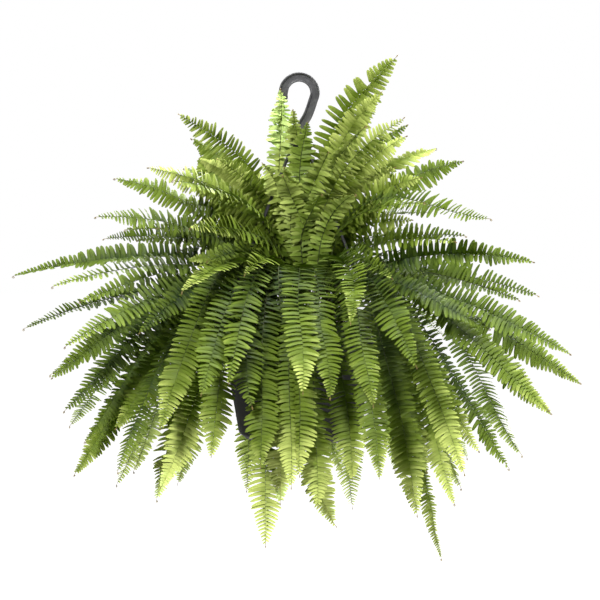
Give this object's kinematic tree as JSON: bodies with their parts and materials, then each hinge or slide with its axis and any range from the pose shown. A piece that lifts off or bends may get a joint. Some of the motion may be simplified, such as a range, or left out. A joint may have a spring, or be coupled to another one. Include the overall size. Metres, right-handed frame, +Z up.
{
  "type": "potted fern",
  "caption": "Sword fern in a tapered hanging pot, its arching fronds spreading all round from the soil, hung by a hook and straps from the pot's rim.",
  "frame": {"origin": "the point that the plant hangs from: the highest point of the inner edge of the hook's bend", "axes": "+Z up; -Y towards the viewer of the picture, so the hook is seen flat from the front; +X to the viewer's right"},
  "size_m": [0.7957, 0.576, 0.7007],
  "materials": {
    "pot_plastic": "satin",
    "hanger_plastic": "satin",
    "potting_soil": "matte",
    "fern_leaf": "matte"
  },
  "bodies": {
    "root": {"hanger_hook": "hanger_plastic", "hanger_arm_1": "hanger_plastic", "hanger_arm_2": "hanger_plastic", "hanger_arm_3": "hanger_plastic", "pot": "pot_plastic", "soil": "potting_soil", "frond_01": "fern_leaf", "frond_02": "fern_leaf", "frond_03": "fern_leaf", "frond_04": "fern_leaf", "frond_05": "fern_leaf", "frond_06": "fern_leaf", "frond_07": "fern_leaf", "frond_08": "fern_leaf", "frond_09": "fern_leaf", "frond_10": "fern_leaf", "frond_11": "fern_leaf", "frond_12": "fern_leaf", "frond_13": "fern_leaf", "frond_14": "fern_leaf", "frond_15": "fern_leaf", "frond_16": "fern_leaf", "frond_17": "fern_leaf", "frond_18": "fern_leaf", "frond_19": "fern_leaf", "frond_20": "fern_leaf", "frond_21": "fern_leaf", "frond_22": "fern_leaf", "frond_23": "fern_leaf", "frond_24": "fern_leaf", "frond_25": "fern_leaf", "frond_26": "fern_leaf", "frond_27": "fern_leaf", "frond_28": "fern_leaf", "frond_29": "fern_leaf", "frond_30": "fern_leaf", "frond_31": "fern_leaf", "frond_32": "fern_leaf", "frond_33": "fern_leaf", "frond_34": "fern_leaf", "frond_35": "fern_leaf", "frond_36": "fern_leaf", "frond_37": "fern_leaf", "frond_38": "fern_leaf", "frond_39": "fern_leaf", "frond_40": "fern_leaf", "frond_41": "fern_leaf", "frond_42": "fern_leaf", "frond_43": "fern_leaf", "frond_44": "fern_leaf", "frond_45": "fern_leaf", "frond_46": "fern_leaf", "frond_47": "fern_leaf", "frond_48": "fern_leaf", "frond_49": "fern_leaf", "frond_50": "fern_leaf", "frond_51": "fern_leaf", "frond_52": "fern_leaf", "frond_53": "fern_leaf", "frond_54": "fern_leaf"}
  },
  "joints": []
}
